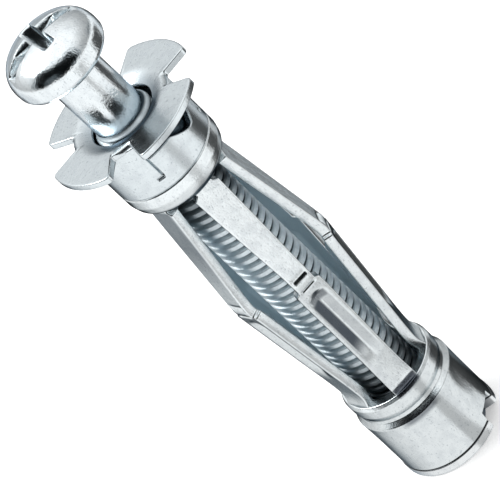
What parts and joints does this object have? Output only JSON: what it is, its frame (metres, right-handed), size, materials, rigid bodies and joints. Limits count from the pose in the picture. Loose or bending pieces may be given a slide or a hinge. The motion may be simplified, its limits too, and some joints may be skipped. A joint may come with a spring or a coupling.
{
  "type": "hollow wall anchor",
  "caption": "Hollow wall anchor: flanged cap on a slotted sleeve with creased legs, a captive nut in its tail, and a pan head machine screw.",
  "frame": {"origin": "centre of the nut's end face, where the standing anchor rests", "axes": "+Z along the screw from the nut end to the screw head; -Y is the front, square to one leg"},
  "size_m": [0.0154, 0.0154, 0.0599],
  "materials": {
    "screw_zinc": "bright zinc plate",
    "cap_zinc": "bright zinc plate on stamped sheet",
    "sleeve_zinc": "bright zinc plate on rolled sheet",
    "nut_zinc": "bright zinc plate"
  },
  "bodies": {
    "anchor": {"flange_cap": "cap_zinc", "sleeve": "sleeve_zinc", "nut": "nut_zinc"},
    "screw": {"screw": "screw_zinc"}
  },
  "joints": [
    {"name": "screw_travel", "type": "slide", "parent": "anchor", "child": "screw", "axis": [0, 0, 1], "range_m": [-0.00685, 0.0065]}
  ]
}
